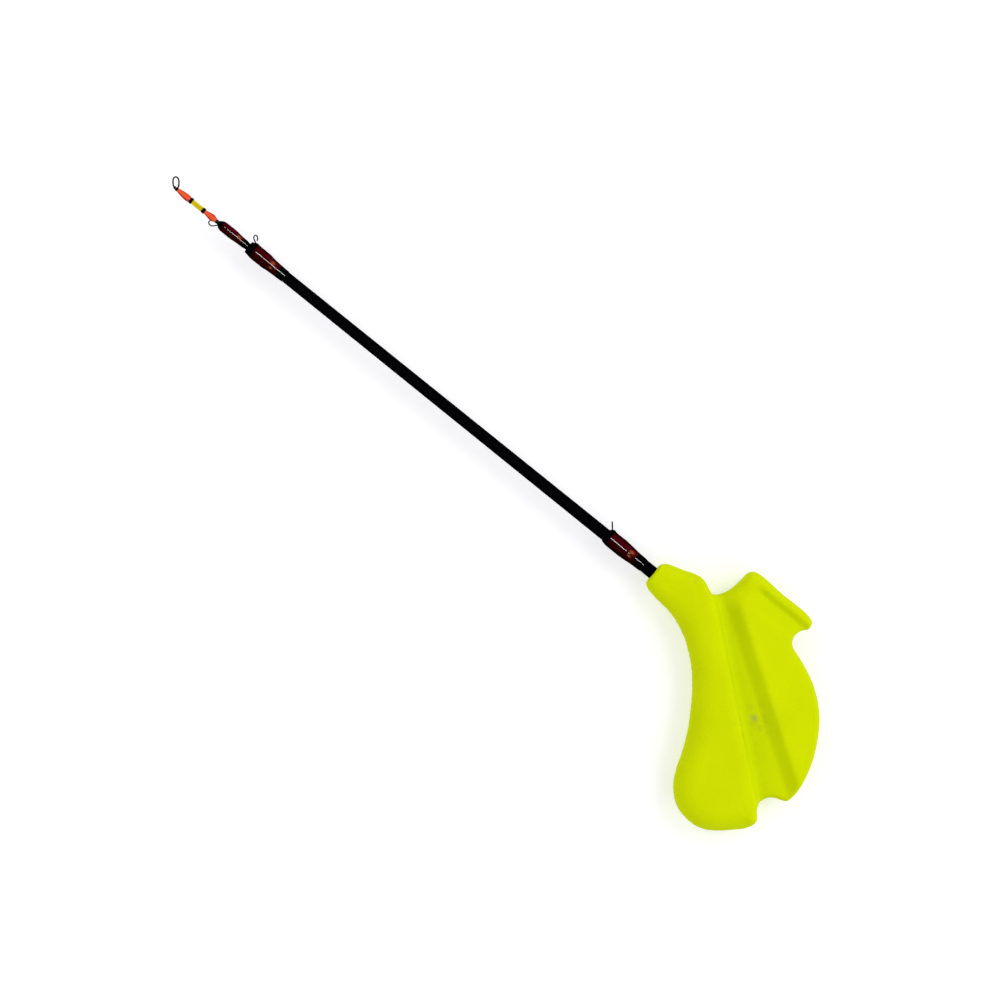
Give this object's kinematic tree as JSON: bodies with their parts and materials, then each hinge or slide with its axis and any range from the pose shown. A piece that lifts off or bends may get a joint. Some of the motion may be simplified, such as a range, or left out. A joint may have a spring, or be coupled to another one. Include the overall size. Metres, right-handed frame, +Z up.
{
  "type": "ice fishing rod",
  "caption": "Short ice fishing rod: foam pistol grip that is also a line winder, tubular blank, wire guides bound in thread, and a sprung strike indicator with a tip ring.",
  "frame": {"origin": "rest point: a point in the flat under the grip, on the surface that the rod lies on", "axes": "+X along the blank, from the tip to the handle; +Y towards the guides and the horn; +Z up, out of the handle's other flat"},
  "size_m": [0.4178, 0.1136, 0.023],
  "materials": {
    "foam_yellow": "matte",
    "adhesive": "satin",
    "blank_black": "satin",
    "thread_black": "satin",
    "thread_red": "satin",
    "epoxy_clear": "gloss",
    "wire_steel": "satin",
    "spring_wire": "satin",
    "nod_red": "satin",
    "nod_yellow": "satin",
    "nod_black": "satin"
  },
  "bodies": {
    "rod": {"handle_body": "foam_yellow", "handle_adhesive": "adhesive", "blank_tube": "blank_black", "tip_rod": "blank_black", "lower_trim_rear": "thread_black", "lower_wrap_thread": "thread_red", "lower_trim_front": "thread_black", "lower_epoxy": "epoxy_clear", "lower_guide": "wire_steel", "middle_trim_rear": "thread_black", "middle_wrap_thread": "thread_red", "middle_trim_front": "thread_black", "middle_epoxy": "epoxy_clear", "middle_guide": "wire_steel", "tip_trim_rear": "thread_black", "tip_wrap_thread": "thread_red", "tip_trim_front": "thread_black", "tip_epoxy": "epoxy_clear", "tip_guide": "wire_steel", "nod_core_root": "spring_wire"},
    "nod": {"nod_core": "spring_wire", "nod_sleeve_rear": "nod_red", "nod_band_rear": "nod_black", "nod_sleeve_middle": "nod_yellow", "nod_band_front": "nod_black", "nod_sleeve_front": "nod_red", "nod_collar": "nod_black", "nod_ring": "wire_steel"}
  },
  "joints": [
    {"name": "nod_flex", "type": "hinge", "parent": "rod", "child": "nod", "pos_m": [-0.3368, 0.03, 0.0115], "axis": [0, 0, 1], "range_deg": [-60, 45], "stiffness_Nm_per_rad": 0.001}
  ]
}
